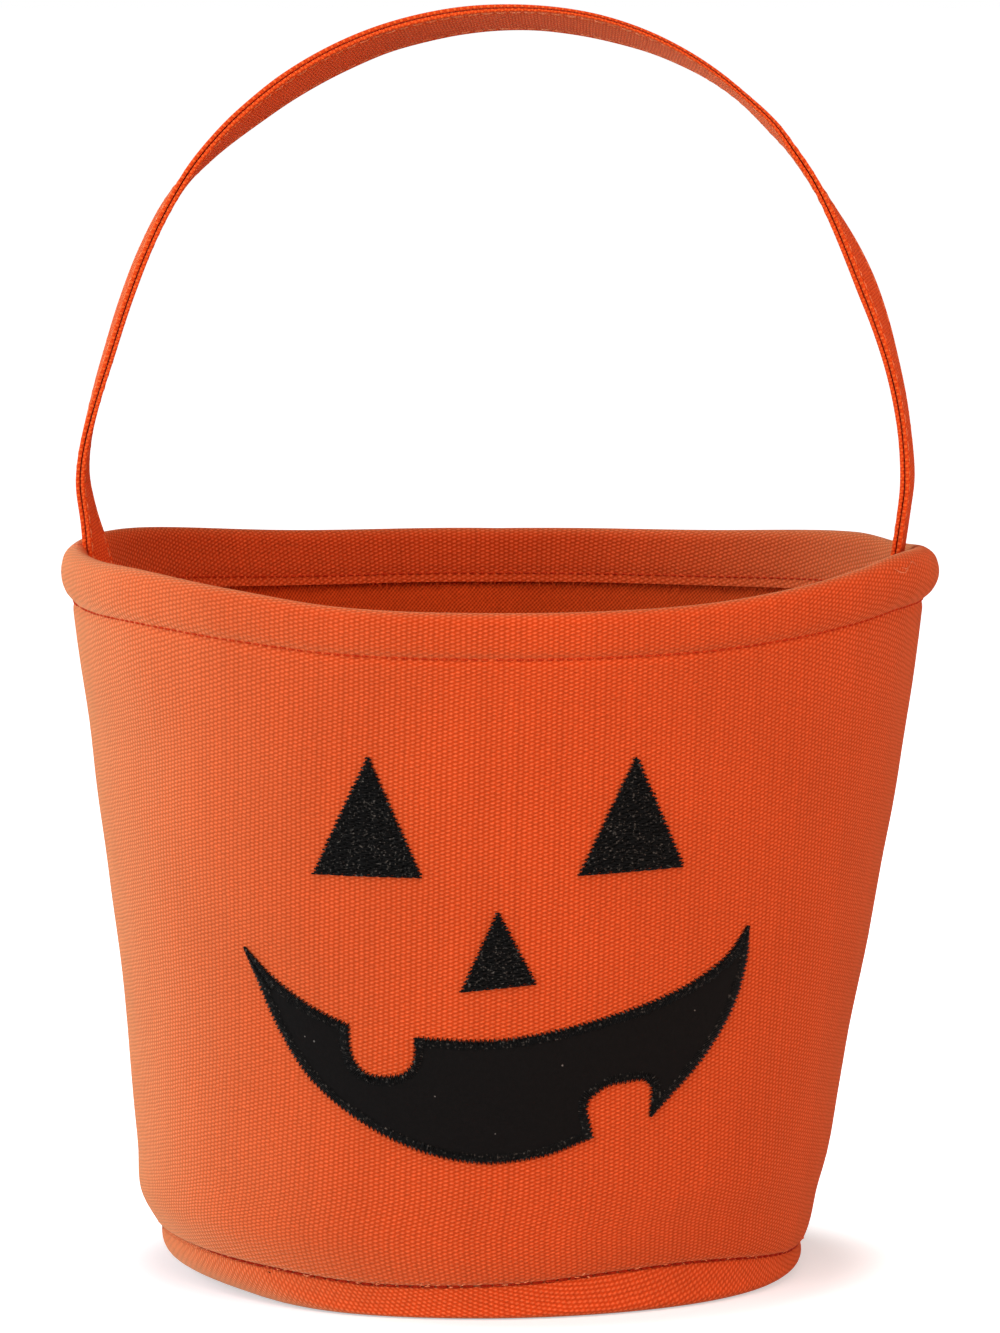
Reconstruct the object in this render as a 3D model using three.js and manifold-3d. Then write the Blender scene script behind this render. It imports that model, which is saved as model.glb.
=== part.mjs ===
// A sewn trick-or-treat bucket: two canvas wall panels with a folded, topstitched hem, a foam
// interlining, a lining, a padded base with a stiff board, a two-ply strap handle whose ends are
// sewn inside the rim, and a pumpkin face of embroidery and felt on the front panel.
// Millimetres, +Z up, front towards -Y, origin on the floor under the bucket's middle.
import * as THREE from 'three';
import { mergeVertices } from 'three/addons/utils/BufferGeometryUtils.js';
import Module from 'manifold-3d';

const wasm = await Module();
wasm.setup();

// Wall and rim
const FOOT_RADIUS = 91.3;       // wall, produced straight down to the base seam, outside
const STITCH_RADIUS = 115.8;    // outside of the wall at the hem's topstitch
const RIM_HEIGHT = 194.6;       // floor to the top of the rim, front and back
const RIM_LIFT = 4.2;           // how much higher the rim stands at the two handle ends
const HEM_WIDTH = 12.6;         // topstitch below the top of the rim
const HEM_SWELL = 1.6;          // how far the doubled hem stands out from the wall
const STITCH_SINK = 0.5;        // how deep the topstitch pulls the canvas in
const STITCH_PINCH = 3.2;       // and how far above and below the stitches that shows
const FACING_DEPTH = 15;        // folded edge of the hem inside, below the top of the rim
const LIFT_DEPTH = 17;          // the rim's rise fades out this far below its top

// Cloth and layers
const CANVAS = 1.1;
const INTERLINING = 2;
const LINING = 0.6;
const GAP = 0.3;                // air left between touching layers
const SEAM_ALLOWANCE = 3;       // cloth turned in at the base seam

// Base
const SEAM_HEIGHT = 8.85;       // middle of the seam between wall and base
const FOOT_TUCK = 2.5;          // how far the wall turns in at the base seam
const FOOT_TUCK_HEIGHT = 21;    // the turn starts this far above the seam
const BASE_EDGE_RADIUS = 5.5;     // round edge of the padded base
const BOARD = 2;                // stiff board under the lining

// Strap handle
const STRAP_WIDTH = 25;
const STRAP_PLY = 1.4;
const ARCH_INSET = 2.4;         // middle of the strap to the wall's outside, where it is widest
const ARCH_FREEBOARD = 23.4;    // rim to the level where the arch is widest, and the fold's axis
const ARCH_RISE = 128.2;        // from that level to the middle of the strap at its top
const FLEX_LENGTH = 34;         // stretch of strap above the rim that bends when the handle folds
const TAB_DEPTH = 38;           // strap sewn inside, below the top of the rim
const STRAP_STEP = 4;           // length in which the strap climbs to the facing's edge

// Pumpkin face, as seen from the front: x to the right of the middle, z above the floor
const FACE_SHIFT = 2;         // the face is sewn this far to the right of the middle
const THREAD_PATCH = 1.0;       // thickness of the embroidered eyes and nose
const FELT = 1.2;               // thickness of the felt mouth
const EYE_WIDTH = 28.4;
const EYE_HEIGHT = 32.4;
const EYE_SPACING = 71;         // apex to apex
const EYE_FOOT = 122.6;         // floor to the lower edge of the eyes
const NOSE_WIDTH = 20;
const NOSE_HEIGHT = 21;
const NOSE_FOOT = 92;           // floor to the lower edge of the nose
const CORNER_ROUND = 1.2;       // rounding of the triangles' corners
const GRIN_WIDTH = 135.4;       // tip to tip
const GRIN_FOOT = 44;           // floor to the lowest point of the mouth
const GRIN_HEIGHT = 62.5;       // lowest point to the right tip, the higher one

// Fineness of the round shapes
const SEGMENTS = 60;
const ARC_STEP = Math.PI / 6;
const ARCH_STEPS = 32;
const STRAP_END_STEPS = 15;
const STRAP_EDGE_STEPS = 2;
const BEND_TENSION = 0.15;      // of the strap ends' curve, low so that it never swings wide

const STITCH_HEIGHT = RIM_HEIGHT - HEM_WIDTH;
const WALL_SLOPE = (STITCH_RADIUS - FOOT_RADIUS) / (STITCH_HEIGHT - SEAM_HEIGHT);
const WALL_STACK = CANVAS + GAP + INTERLINING + GAP + LINING;
const HEM_STACK = WALL_STACK + GAP + CANVAS;
const ARCH_HALF_WIDTH = STITCH_RADIUS - ARCH_INSET;
const ARCH_SPRING = RIM_HEIGHT + ARCH_FREEBOARD;

// Helpers between three.js geometry and solids

function solidFrom(geometry) {
  const bare = geometry.clone();
  bare.deleteAttribute('normal');
  bare.deleteAttribute('uv');
  const merged = mergeVertices(bare, 1e-4);
  return new wasm.Manifold(new wasm.Mesh({
    numProp: 3,
    vertProperties: new Float32Array(merged.attributes.position.array),
    triVerts: new Uint32Array(merged.index.array),
  }));
}

function geometryFrom(solid) {
  const mesh = solid.getMesh();
  const positions = new Float32Array(mesh.numVert * 3);
  for (let i = 0; i < mesh.numVert; i += 1) {
    const start = i * mesh.numProp;
    positions.set(mesh.vertProperties.subarray(start, start + 3), i * 3);
  }
  const geometry = new THREE.BufferGeometry();
  geometry.setAttribute('position', new THREE.BufferAttribute(positions, 3));
  geometry.setIndex(new THREE.BufferAttribute(new Uint32Array(mesh.triVerts), 1));
  geometry.computeVertexNormals();
  return geometry;
}

// Moves every vertex of a geometry through a function of its place.
function reshape(geometry, move) {
  const position = geometry.attributes.position;
  const place = new THREE.Vector3();
  for (let i = 0; i < position.count; i += 1) {
    place.fromBufferAttribute(position, i);
    move(place);
    position.setXYZ(i, place.x, place.y, place.z);
  }
  return geometry;
}

// A closed [radius, height] profile turned about the bucket's axis. The profile runs
// anticlockwise, seen with the radius to the right and the height upwards.
function revolve(profile) {
  const points = profile.map(([radius, height]) => new THREE.Vector2(radius, height));
  const onAxis = profile[0][0] === 0 && profile[profile.length - 1][0] === 0;
  if (!onAxis) points.push(points[0].clone());
  const turned = new THREE.LatheGeometry(points, SEGMENTS);
  turned.rotateX(Math.PI / 2);
  return turned;
}

function arc(centreRadius, centreHeight, size, from, to) {
  const points = [];
  const steps = Math.ceil(Math.abs(to - from) / ARC_STEP - 1e-6);
  for (let i = 0; i <= steps; i += 1) {
    const angle = from + ((to - from) * i) / steps;
    points.push([centreRadius + size * Math.cos(angle), centreHeight + size * Math.sin(angle)]);
  }
  return points;
}

// Form of the wall

function straightWall(height) {
  return FOOT_RADIUS + WALL_SLOPE * (height - SEAM_HEIGHT);
}

// Outside radius of the wall at a height, before the rim is lifted: it turns in at the foot, is
// pulled in at the topstitch, and stands out above it.
function wallRadius(height) {
  const tuck = Math.max(0, 1 - (height - SEAM_HEIGHT) / FOOT_TUCK_HEIGHT);
  const pinch = Math.max(0, 1 - Math.abs(height - STITCH_HEIGHT) / STITCH_PINCH);
  const swell = height > STITCH_HEIGHT ? 1 - pinch : 0;
  return straightWall(height) - FOOT_TUCK * tuck * tuck - STITCH_SINK * pinch + HEM_SWELL * swell;
}

// The handle ends hold the rim up: the top of the wall rises towards the two sides.
function liftRim(place) {
  const radius = Math.hypot(place.x, place.y);
  const share = (place.z - (RIM_HEIGHT - LIFT_DEPTH)) / LIFT_DEPTH;
  if (radius === 0 || share <= 0) return;
  const rise = RIM_LIFT * (place.x / radius) ** 2 * Math.min(1, share);
  const widened = (radius + WALL_SLOPE * rise) / radius;
  place.set(place.x * widened, place.y * widened, place.z + rise);
}

// Front and back halves of a ring, parted at the two side seams.
function halves(ring) {
  const reach = 4 * STITCH_RADIUS;
  const block = new THREE.BoxGeometry(reach, reach, reach);
  const parts = [-1, 1].map((side) => {
    const half = block.clone().translate(0, side * (reach / 2 + GAP / 2), 0);
    return geometryFrom(ring.intersect(solidFrom(half)));
  });
  return { front: parts[0], back: parts[1] };
}

// Heights at which the wall's layers change their slope.
const FOOT_HEIGHTS = [0.25, 0.5, 1].map((share) => SEAM_HEIGHT + share * FOOT_TUCK_HEIGHT);
const STITCH_HEIGHTS = [-1, 0, 1].map((side) => STITCH_HEIGHT + side * STITCH_PINCH);
const CREST_MIDDLE = RIM_HEIGHT - HEM_STACK / 2;

// A line up the wall at a depth below its outside, from a foot to a top.
function wallLine(depth, foot, top) {
  const heights = [foot, ...FOOT_HEIGHTS, ...STITCH_HEIGHTS, top];
  const used = heights.filter((height) => height >= foot && height <= top);
  return used.map((height) => [wallRadius(height) - depth, height]);
}

// The canvas wall: its foot turns in at the base seam, and its top folds over into the facing.
function canvasWall() {
  const footBottom = SEAM_HEIGHT + GAP / 2;
  const footTop = footBottom + CANVAS;
  const footEnd = wallRadius(footBottom) - SEAM_ALLOWANCE;
  const facingEdge = RIM_HEIGHT - FACING_DEPTH;
  const bend = [wallRadius(CREST_MIDDLE) - HEM_STACK / 2, CREST_MIDDLE];
  const profile = [
    [footEnd, footBottom],
    ...wallLine(0, footBottom, STITCH_HEIGHTS[2]),
    ...arc(...bend, HEM_STACK / 2, 0, Math.PI),
    ...wallLine(HEM_STACK, facingEdge, STITCH_HEIGHTS[2]).reverse(),
    ...wallLine(HEM_STACK - CANVAS, facingEdge, STITCH_HEIGHTS[2]),
    ...arc(...bend, HEM_STACK / 2 - CANVAS, Math.PI, 0),
    ...wallLine(CANVAS, footTop, STITCH_HEIGHTS[2]).reverse(),
    [footEnd, footTop],
  ];
  return halves(solidFrom(reshape(revolve(profile), liftRim)));
}

// A layer inside the wall, from the base lining up into the fold of the hem.
function wallLayer(depth, thickness, top) {
  const outside = wallLine(depth, LINING_FLOOR, top);
  const inside = wallLine(depth + thickness, LINING_FLOOR, top).reverse();
  return halves(solidFrom(reshape(revolve([...outside, ...inside]), liftRim)));
}

// Levels of the base's layers, from the floor up.
const LINING_FLOOR = SEAM_HEIGHT + GAP / 2 + CANVAS + GAP;
const PAD_BOTTOM = CANVAS + GAP;
const BOARD_BOTTOM = LINING_FLOOR - GAP - BOARD;
const BOARD_RADIUS = wallRadius(SEAM_HEIGHT) - SEAM_ALLOWANCE - GAP;
const PAD_RADIUS = Math.min(BOARD_RADIUS, wallRadius(SEAM_HEIGHT) - BASE_EDGE_RADIUS);

// The canvas base: a flat disc whose round edge comes up to the seam and turns in.
function canvasBase() {
  const lipTop = SEAM_HEIGHT - GAP / 2;
  const edge = wallRadius(SEAM_HEIGHT);
  const middle = [edge - BASE_EDGE_RADIUS, BASE_EDGE_RADIUS];
  return revolve([
    [0, 0],
    ...arc(...middle, BASE_EDGE_RADIUS, -Math.PI / 2, 0),
    [edge, lipTop],
    [edge - SEAM_ALLOWANCE, lipTop],
    [edge - SEAM_ALLOWANCE, lipTop - CANVAS],
    [edge - CANVAS, lipTop - CANVAS],
    ...arc(...middle, BASE_EDGE_RADIUS - CANVAS, -Math.PI / 16, -Math.PI / 2),
    [0, CANVAS],
  ]);
}

function disc(radius, bottom, thickness) {
  return revolve([[0, bottom], [radius, bottom], [radius, bottom + thickness], [0, bottom + thickness]]);
}

// Strap handle

// The middle line of the strap's arch: half an ellipse, cut off at the top of the flexing stretch.
class StrapArch extends THREE.Curve {
  constructor(offset) {
    super();
    this.halfWidth = ARCH_HALF_WIDTH + offset;
    this.rise = ARCH_RISE + offset;
    this.start = Math.asin(FLEX_LENGTH / 2 / this.rise);
  }

  getPoint(t, target = new THREE.Vector3()) {
    const angle = this.start + t * (Math.PI - 2 * this.start);
    return target.set(this.halfWidth * Math.cos(angle), 0, ARCH_SPRING + this.rise * Math.sin(angle));
  }
}

// Section of one ply: folded edges round, and points across its width so that it can curl.
function plySection(stripsAcross) {
  const round = STRAP_PLY / 2;
  const flat = STRAP_WIDTH / 2 - round;
  const across = (i) => -flat + (2 * flat * i) / stripsAcross;
  const section = new THREE.Shape();
  section.moveTo(-flat, -round);
  for (let i = 1; i < stripsAcross; i += 1) section.lineTo(across(i), -round);
  section.absarc(flat, 0, round, -Math.PI / 2, Math.PI / 2, false);
  for (let i = stripsAcross - 1; i > 0; i -= 1) section.lineTo(across(i), round);
  section.absarc(-flat, 0, round, Math.PI / 2, (3 * Math.PI) / 2, false);
  return section;
}

const PLY_OFFSET = (STRAP_PLY + GAP) / 2;

function strapLoop(offset) {
  return new THREE.ExtrudeGeometry(plySection(1), {
    extrudePath: new StrapArch(offset),
    steps: ARCH_STEPS,
    curveSegments: STRAP_EDGE_STEPS,
  });
}

// One ply of a strap end: against the lining, over the facing's edge, up inside the rim and
// through the flexing stretch to the arch.
function strapEnd(offset, side) {
  const clearance = GAP + STRAP_PLY + GAP / 2 - offset;
  const facingEdge = RIM_HEIGHT - FACING_DEPTH;
  const onWall = (stack, height) => {
    const place = new THREE.Vector3(wallRadius(height) - stack - clearance, 0, height);
    liftRim(place);
    return place;
  };
  const archFoot = new StrapArch(offset).getPoint(0);
  const path = new THREE.CatmullRomCurve3([
    onWall(WALL_STACK, RIM_HEIGHT - TAB_DEPTH),
    onWall(WALL_STACK, facingEdge - 2 * STRAP_STEP),
    onWall(HEM_STACK, facingEdge - STRAP_STEP),
    onWall(HEM_STACK, STITCH_HEIGHT),
    new THREE.Vector3(ARCH_HALF_WIDTH + offset, 0, ARCH_SPRING),
    new THREE.Vector3(archFoot.x, 0, archFoot.z - GAP),
  ], false, 'catmullrom', BEND_TENSION);
  const end = new THREE.ExtrudeGeometry(plySection(4), {
    extrudePath: path,
    steps: STRAP_END_STEPS,
    curveSegments: STRAP_EDGE_STEPS,
  });
  reshape(end, (place) => {
    const share = Math.min(1, Math.max(0, (ARCH_SPRING - place.z) / (ARCH_SPRING - RIM_HEIGHT)));
    place.x -= share * (STITCH_RADIUS - Math.sqrt(STITCH_RADIUS ** 2 - place.y ** 2));
  });
  if (side < 0) end.rotateZ(Math.PI);
  return end;
}

// Pumpkin face

// A triangle with rounded corners, standing on its base.
function triangle(middle, foot, width, height) {
  const corners = [
    new THREE.Vector2(middle - width / 2, foot),
    new THREE.Vector2(middle + width / 2, foot),
    new THREE.Vector2(middle, foot + height),
  ];
  const outline = new THREE.Shape();
  corners.forEach((corner, i) => {
    const before = corners[(i + 2) % 3];
    const after = corners[(i + 1) % 3];
    const arrive = corner.clone().add(before.clone().sub(corner).setLength(CORNER_ROUND * 2));
    const leave = corner.clone().add(after.clone().sub(corner).setLength(CORNER_ROUND * 2));
    if (i === 0) outline.moveTo(arrive.x, arrive.y);
    else outline.lineTo(arrive.x, arrive.y);
    outline.quadraticCurveTo(corner.x, corner.y, leave.x, leave.y);
  });
  outline.closePath();
  return outline;
}

// The grin: two tips, an upper lip with one square tooth hanging from it, and a lower lip with
// one tooth standing on it. Its points are in shares of half its width, and of its height.
function grin() {
  const at = (across, up) => [
    FACE_SHIFT + (across * GRIN_WIDTH) / 2,
    GRIN_FOOT + up * GRIN_HEIGHT,
  ];
  const leftTip = at(-1, 0.91);
  const rightTip = at(1, 1);
  const mouth = new THREE.Shape();
  mouth.moveTo(...leftTip);
  mouth.bezierCurveTo(...at(-0.96, 0.7), ...at(-0.83, 0.45), ...at(-0.59, 0.22));
  mouth.bezierCurveTo(...at(-0.41, 0.06), ...at(-0.22, 0), ...at(-0.03, 0));
  mouth.bezierCurveTo(...at(0.12, 0), ...at(0.27, 0.04), ...at(0.39, 0.1));
  mouth.lineTo(...at(0.375, 0.19));
  mouth.bezierCurveTo(...at(0.38, 0.27), ...at(0.46, 0.34), ...at(0.59, 0.33));
  mouth.quadraticCurveTo(...at(0.64, 0.32), ...at(0.63, 0.26));
  mouth.lineTo(...at(0.62, 0.163));
  mouth.bezierCurveTo(...at(0.78, 0.32), ...at(0.99, 0.62), ...rightTip);
  mouth.bezierCurveTo(...at(0.84, 0.65), ...at(0.09, 0.52), ...at(-0.315, 0.55));
  mouth.lineTo(...at(-0.33, 0.44));
  mouth.bezierCurveTo(...at(-0.355, 0.35), ...at(-0.53, 0.33), ...at(-0.56, 0.45));
  mouth.lineTo(...at(-0.575, 0.59));
  mouth.bezierCurveTo(...at(-0.75, 0.67), ...at(-0.9, 0.78), ...leftTip);
  return mouth;
}

// An outline drawn on the front, cut out of a thin shell that lies on the wall.
function patch(outline, thickness) {
  const inside = wallLine(-GAP, FOOT_HEIGHTS[2], STITCH_HEIGHTS[0]);
  const outside = wallLine(-GAP - thickness, FOOT_HEIGHTS[2], STITCH_HEIGHTS[0]).reverse();
  const shell = solidFrom(revolve([...inside, ...outside].reverse()));
  const prism = new THREE.ExtrudeGeometry(outline, {
    depth: 2 * STITCH_RADIUS,
    bevelEnabled: false,
    curveSegments: 8,
  });
  return geometryFrom(shell.intersect(solidFrom(prism.rotateX(Math.PI / 2))));
}

// Colours

function cloth(colour, roughness) {
  return new THREE.MeshStandardMaterial({ color: colour, roughness, metalness: 0 });
}

const canvasOrange = cloth('#e8591f', 0.85);
const strapOrange = cloth('#df4f22', 0.8);
const liningOrange = cloth('#d8481c', 0.75);
const foamWhite = cloth('#e9e6de', 0.95);
const boardGrey = cloth('#8d8c88', 0.6);
const threadBlack = cloth('#141414', 0.55);
const feltBlack = cloth('#171717', 0.9);

// Assembly

const bucket = new THREE.Group();

function add(name, geometry, material) {
  const mesh = new THREE.Mesh(geometry, material);
  mesh.name = name;
  bucket.add(mesh);
}

const walls = canvasWall();
add('front_panel', walls.front, canvasOrange);
add('back_panel', walls.back, canvasOrange);

const foamDepth = CANVAS + GAP;
const foam = wallLayer(foamDepth, INTERLINING, CREST_MIDDLE);
add('front_interlining', foam.front, foamWhite);
add('back_interlining', foam.back, foamWhite);

const liningDepth = foamDepth + INTERLINING + GAP;
const lining = wallLayer(liningDepth, LINING, RIM_HEIGHT - HEM_STACK);
add('front_lining', lining.front, liningOrange);
add('back_lining', lining.back, liningOrange);

const liningEdge = wallRadius(LINING_FLOOR) - WALL_STACK - GAP;
add('base_panel', canvasBase(), canvasOrange);
add('base_pad', disc(PAD_RADIUS, PAD_BOTTOM, BOARD_BOTTOM - GAP - PAD_BOTTOM), foamWhite);
add('base_board', disc(BOARD_RADIUS, BOARD_BOTTOM, BOARD), boardGrey);
add('base_lining', disc(liningEdge, LINING_FLOOR, LINING), liningOrange);

for (const [ply, offset] of [['outer', PLY_OFFSET], ['inner', -PLY_OFFSET]]) {
  add(`handle_${ply}_ply`, strapLoop(offset), strapOrange);
  for (const [place, side] of [['left', -1], ['right', 1]]) {
    add(`handle_${place}_end_${ply}_ply`, strapEnd(offset, side), strapOrange);
  }
}

for (const [place, side] of [['left', -1], ['right', 1]]) {
  const middle = FACE_SHIFT + (side * EYE_SPACING) / 2;
  add(`${place}_eye`, patch(triangle(middle, EYE_FOOT, EYE_WIDTH, EYE_HEIGHT), THREAD_PATCH), threadBlack);
}
add('nose', patch(triangle(FACE_SHIFT, NOSE_FOOT, NOSE_WIDTH, NOSE_HEIGHT), THREAD_PATCH), threadBlack);
add('mouth', patch(grin(), FELT), feltBlack);

export default bucket;
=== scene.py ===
# A sewn canvas bucket with a pumpkin face and a cloth strap, standing on a white floor.
# Shapes are worked out in millimetres and put into the scene in metres.
import math
import random

import bmesh
import bpy
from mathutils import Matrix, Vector, geometry, noise


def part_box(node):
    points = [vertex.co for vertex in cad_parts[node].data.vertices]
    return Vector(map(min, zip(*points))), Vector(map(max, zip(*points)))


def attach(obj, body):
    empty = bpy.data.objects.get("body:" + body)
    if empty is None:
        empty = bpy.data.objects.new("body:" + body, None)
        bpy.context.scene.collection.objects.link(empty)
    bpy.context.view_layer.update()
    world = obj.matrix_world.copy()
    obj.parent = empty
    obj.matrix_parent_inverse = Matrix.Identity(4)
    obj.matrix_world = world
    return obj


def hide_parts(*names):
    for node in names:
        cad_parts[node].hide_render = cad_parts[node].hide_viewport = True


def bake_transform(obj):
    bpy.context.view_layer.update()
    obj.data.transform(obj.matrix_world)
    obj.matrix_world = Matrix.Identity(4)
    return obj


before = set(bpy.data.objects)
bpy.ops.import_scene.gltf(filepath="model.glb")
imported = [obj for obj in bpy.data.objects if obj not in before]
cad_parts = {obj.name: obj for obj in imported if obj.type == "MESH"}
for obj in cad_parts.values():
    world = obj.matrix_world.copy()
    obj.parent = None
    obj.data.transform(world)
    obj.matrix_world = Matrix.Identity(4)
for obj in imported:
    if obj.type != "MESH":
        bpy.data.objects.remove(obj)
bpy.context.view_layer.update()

MM = 0.001
dice = random.Random(31)


def corners_mm(node):
    low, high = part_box(node)
    return Vector(low) / MM, Vector(high) / MM


base_high = corners_mm("base_panel")[1]
strap_low, strap_high = corners_mm("handle_outer_ply")
pad_low, pad_high = corners_mm("base_pad")
board_low, board_high = corners_mm("base_board")

# Cloth and layers
CANVAS = 1.1
INTERLINING = 2
LINING = 0.6
GAP = 0.3
LINING_DEPTH = CANVAS + GAP + INTERLINING + GAP
WALL_STACK = LINING_DEPTH + LINING
HEM_STACK = WALL_STACK + GAP + CANVAS

# Wall and rim
SEAM_HEIGHT = base_high.z + GAP / 2
SEAM_RADIUS = base_high.x
RIM_HEIGHT = 194.6
HEM_WIDTH = 12.6
FACING_DEPTH = 15
STITCH_HEIGHT = RIM_HEIGHT - HEM_WIDTH
FOOT_TUCK = 2.5
FOOT_TUCK_HEIGHT = 12
FOOT_RADIUS = SEAM_RADIUS + FOOT_TUCK
STITCH_RADIUS = 115.8
WALL_SLOPE = (STITCH_RADIUS - FOOT_RADIUS) / (STITCH_HEIGHT - SEAM_HEIGHT)
FLOOR_OF_LINING = SEAM_HEIGHT + GAP / 2 + CANVAS + GAP
CREST_MIDDLE = RIM_HEIGHT - HEM_STACK / 2
LEAN = 4.4  # how far the foot of the soft bucket stands to the left of its rim

# Soft waves of the wall: how large, their two lengths, and where they are free of the seam
WAVINESS = 0.7
LONG_WAVE, SHORT_WAVE = 55, 23
FREE_HEIGHT = 25

# Soft bulges and dents of the wall, each with its height and how far it reaches up and down
FOOT_SAG, FOOT_SAG_HEIGHT, FOOT_SAG_REACH = 1.4, 21, 9
BELLY, BELLY_HEIGHT, BELLY_REACH = 1.1, 34, 26
STITCH_SINK, STITCH_SINK_REACH = 0.55, 1.2
STITCH_PUCKER, PUCKER_ABOVE, PUCKER_REACH, PUCKER_LENGTH = 0.35, 1.5, 3.5, 7

# Strap
STRAP_WIDTH = strap_high.y - strap_low.y
STRAP_PLY = 1.1
PLY_BOW = 0.45
ARCH_SPRING = RIM_HEIGHT + 23.4
ARCH_HALF_WIDTH = STITCH_RADIUS - 2.4
ARCH_RISE = strap_high.z - STRAP_PLY - GAP / 2 - ARCH_SPRING
TAB_DEPTH = 38
EDGE_STITCH = 2.4
PINCH_REACH = 0.8  # how far from the edge stitching it pinches the strap
PLY_REST = 0.13  # how far each ply lies from the middle of the strap

# How the soft bucket stands: how much the rim rises, and the base seam rises, at each turn
# from the front (0) to the right (90), the back (180) and the left (-90), in millimetres.
RIM_RISE = [(-180, 0.3), (-150, 1.2), (-116, 6.4), (-90, 6.6), (-70, 6), (-56, 5.8), (-38, 3.2),
            (-21, 0), (0, -0.8), (25, 0), (44, 2.8), (57, 5.6), (68, 7.9), (80, 7.6), (92, 5.9),
            (107, 4), (120, 4.6), (150, 1.2), (180, 0.3)]
SEAM_RISE = [(-180, 1), (-120, 2), (-74, 3.6), (-59, 3), (-40, 1.7), (-19, -0.2), (6, 0.6),
             (25, 2.7), (42, 3), (75, -1.1), (110, -0.6), (180, 1)]
RISE_DEPTH = 34
SEAM_RISE_DEPTH = 26
# How far the hem swells, how round the edge of the base is, how far the right side swells over
# most of its height, and the left side under the rim, at each turn.
HEM_SWELL = [(-180, 0.7), (-130, 1), (-90, 2.4), (-70, 1.5), (-50, 0.7), (-20, 0.5), (30, 0.5),
             (50, 1), (68, 2.2), (82, 3.4), (94, 3.2), (112, 1.8), (140, 0.9), (180, 0.7)]
BASE_EDGE = [(-180, 5.5), (-120, 8), (-90, 13), (-70, 17), (-55, 15), (-40, 7.5), (-24, 2.6),
             (0, 2.2), (25, 2.8), (45, 2.8), (60, 3.6), (75, 5.6), (90, 7), (120, 6), (180, 5.5)]
RIGHT_SWELL = [(-180, 0.4), (-140, 0), (0, 0), (50, 0.8), (78, 2.2), (95, 2.4), (130, 1.4),
               (180, 0.4)]
RIGHT_SWELL_FROM, RIGHT_SWELL_RISE = 45, 50
LEFT_SWELL = [(-180, 0), (-120, 0.8), (-80, 1.5), (-40, 0.4), (0, 0), (180, 0)]
LEFT_SWELL_FROM, LEFT_SWELL_RISE = 150, 35
HEM_FULLNESS = 0.85  # below 1, so the hem is fullest under its middle
HEM_FADE = 0.35  # share by which the hem's swell fades from its outside to its middle layer


def smooth(share):
    share = min(1, max(0, share))
    return share * share * (3 - 2 * share)


def bulge(distance, reach):
    """1 in the middle of a soft bulge, and nothing well past its reach."""
    return math.exp(-(distance / reach) ** 2)


def along(points, at):
    """Height at a place of the smooth curve through some (place, height) points."""
    at = min(points[-1][0], max(points[0][0], at))
    last = len(points) - 2
    i = next((i for i in range(last + 1) if at <= points[i + 1][0]), last)

    def slope(k):
        (a, low), (b, high) = points[max(0, k - 1)], points[min(last + 1, k + 1)]
        return (high - low) / (b - a)

    (start, low), (end, high) = points[i], points[i + 1]
    span = end - start
    t = (at - start) / span
    return (low * (1 + 2 * t) * (1 - t) ** 2 + slope(i) * span * t * (1 - t) ** 2
            + high * t * t * (3 - 2 * t) + slope(i + 1) * span * t * t * (t - 1))


def steps(start, end, step):
    count = max(1, round(abs(end - start) / step))
    return [start + (end - start) * i / count for i in range(count + 1)]


# Form of the body

def straight_radius(height):
    return FOOT_RADIUS + WALL_SLOPE * (height - SEAM_HEIGHT)


def turn_degrees(turn):
    return (math.degrees(turn) + 180) % 360 - 180


def settle(place, turn, height):
    """Leans a point of the body as the soft bucket stands, and lets its rim and seam wander."""
    rim_share = smooth((height - (RIM_HEIGHT - RISE_DEPTH)) / RISE_DEPTH)
    if height < SEAM_HEIGHT:
        seam_share = height / SEAM_HEIGHT
    else:
        seam_share = smooth(1 - (height - SEAM_HEIGHT) / SEAM_RISE_DEPTH)
    wander = noise.noise(place / LONG_WAVE)
    wander += 0.5 * noise.noise(place / SHORT_WAVE + Vector((9, 4, 7)))
    outwards = Vector((math.sin(turn), -math.cos(turn), 0))
    free = smooth((height - SEAM_HEIGHT) / FREE_HEIGHT)
    moved = place + outwards * WAVINESS * wander * free
    moved.x -= LEAN * (1 - height / RIM_HEIGHT)
    moved.x -= FOOT_SAG * bulge(height - FOOT_SAG_HEIGHT, FOOT_SAG_REACH)
    degrees = turn_degrees(turn)
    moved.z += along(RIM_RISE, degrees) * rim_share + along(SEAM_RISE, degrees) * seam_share
    return moved


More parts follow.
